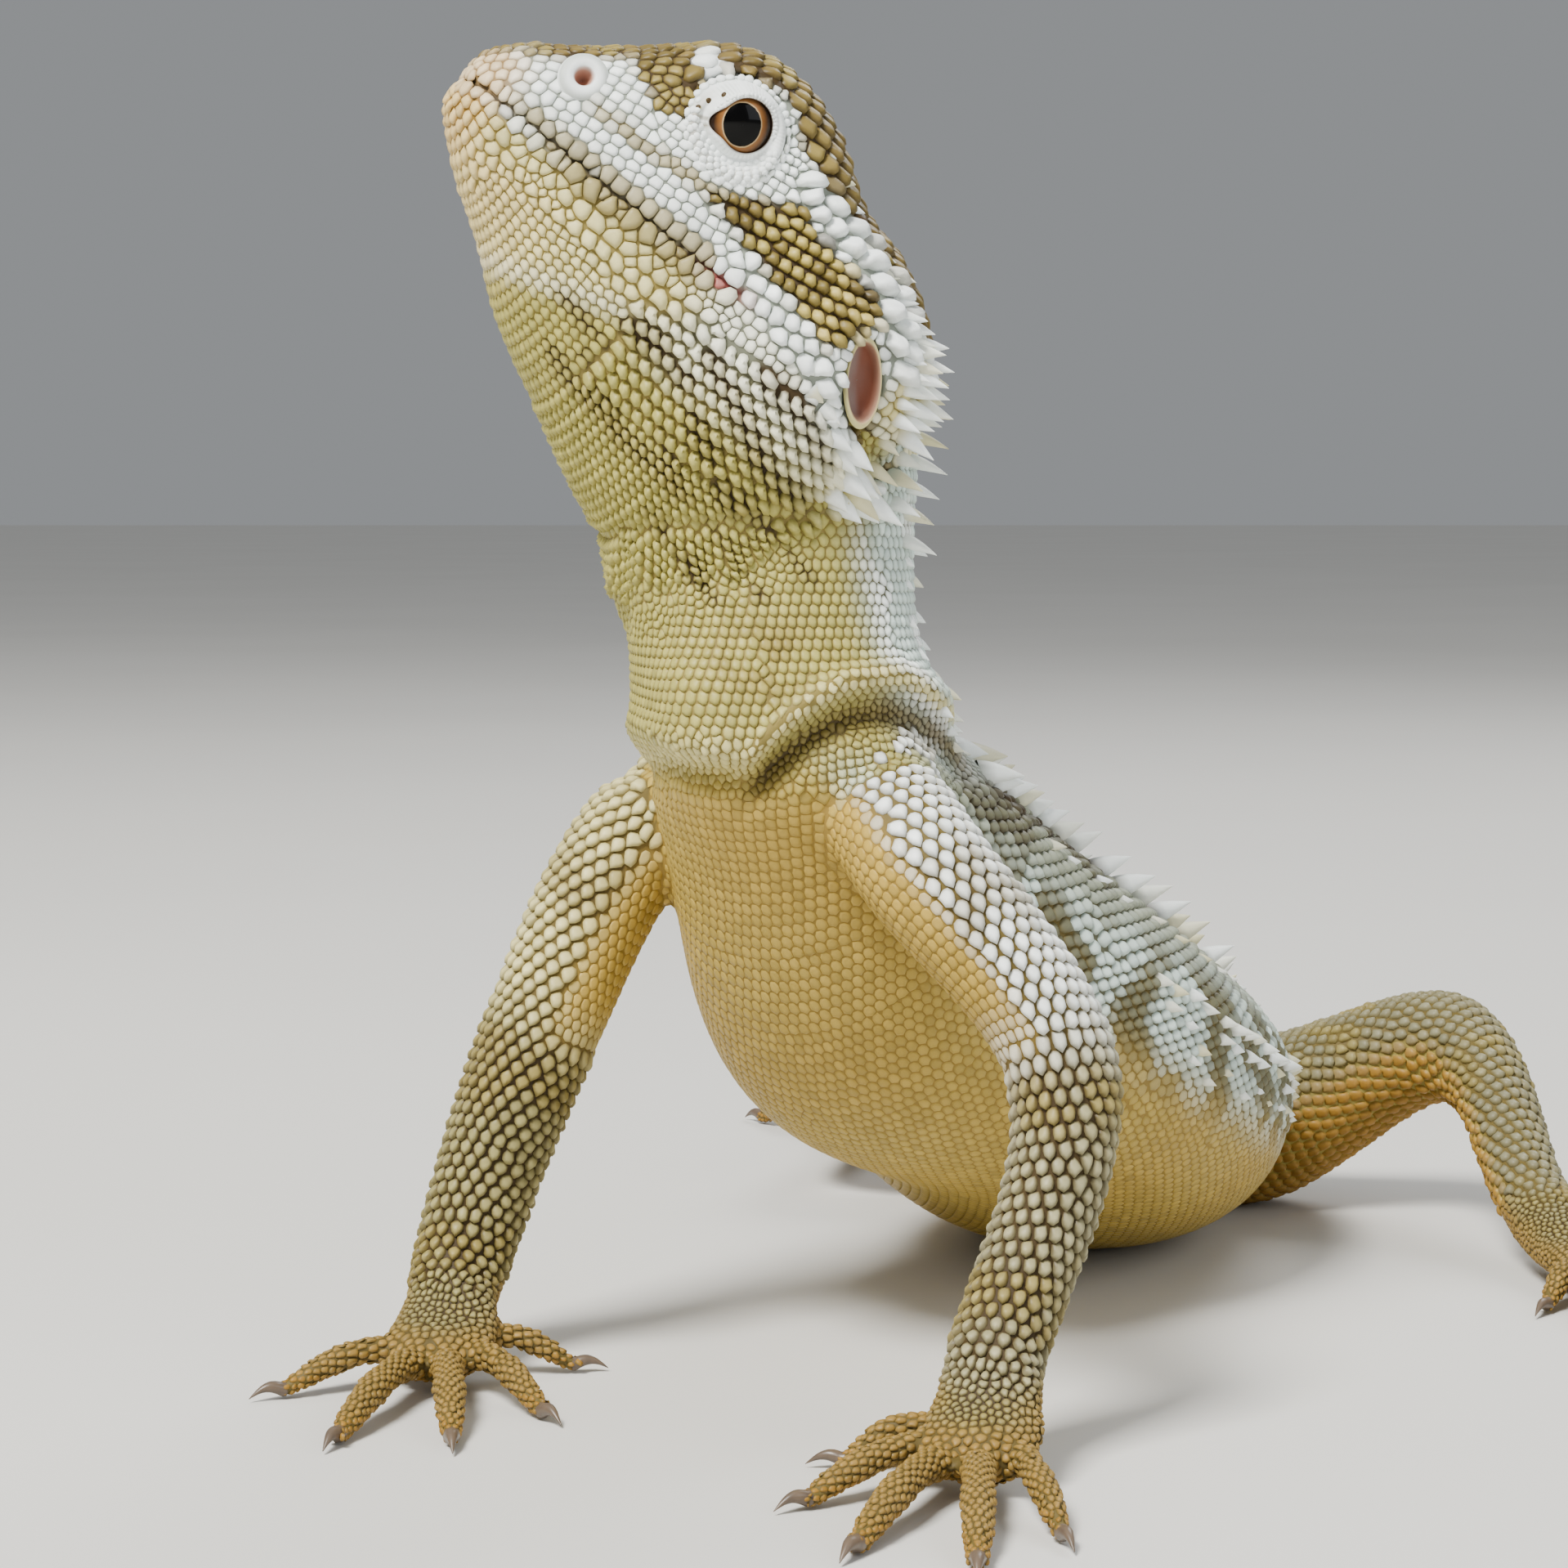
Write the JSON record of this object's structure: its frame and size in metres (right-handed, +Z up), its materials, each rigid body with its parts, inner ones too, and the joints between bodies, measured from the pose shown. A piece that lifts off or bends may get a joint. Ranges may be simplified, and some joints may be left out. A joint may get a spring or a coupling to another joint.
{
  "type": "young bearded dragon, still model",
  "caption": "Life-size still model of a young bearded dragon propped on its forelegs with its head raised, belly and tail resting on the floor.",
  "frame": {"origin": "middle of the whole animal's footprint, on the floor it rests on", "axes": "+Z up; +Y from the raised head back along the body to the tail; +X to the right seen from in front of the forelegs, which is the animal's left"},
  "size_m": [0.1422, 0.3406, 0.1133],
  "materials": {
    "skin": "dry overlapping scales, pale cream, tan and olive",
    "eye": "wet gloss, black pupil in a thin orange-brown iris"
  },
  "bodies": {
    "root": {"head": "skin", "lower_jaw": "skin", "eye_left": "eye", "eye_right": "eye", "neck": "skin", "chest": "skin", "trunk": "skin", "pelvis": "skin", "tail_1": "skin", "tail_2": "skin", "tail_3": "skin", "tail_4": "skin", "left_upper_arm": "skin", "left_forearm": "skin", "left_hand": "skin", "right_upper_arm": "skin", "right_forearm": "skin", "right_hand": "skin", "left_thigh": "skin", "left_shin": "skin", "left_foot": "skin", "right_thigh": "skin", "right_shin": "skin", "right_foot": "skin"}
  },
  "joints": []
}
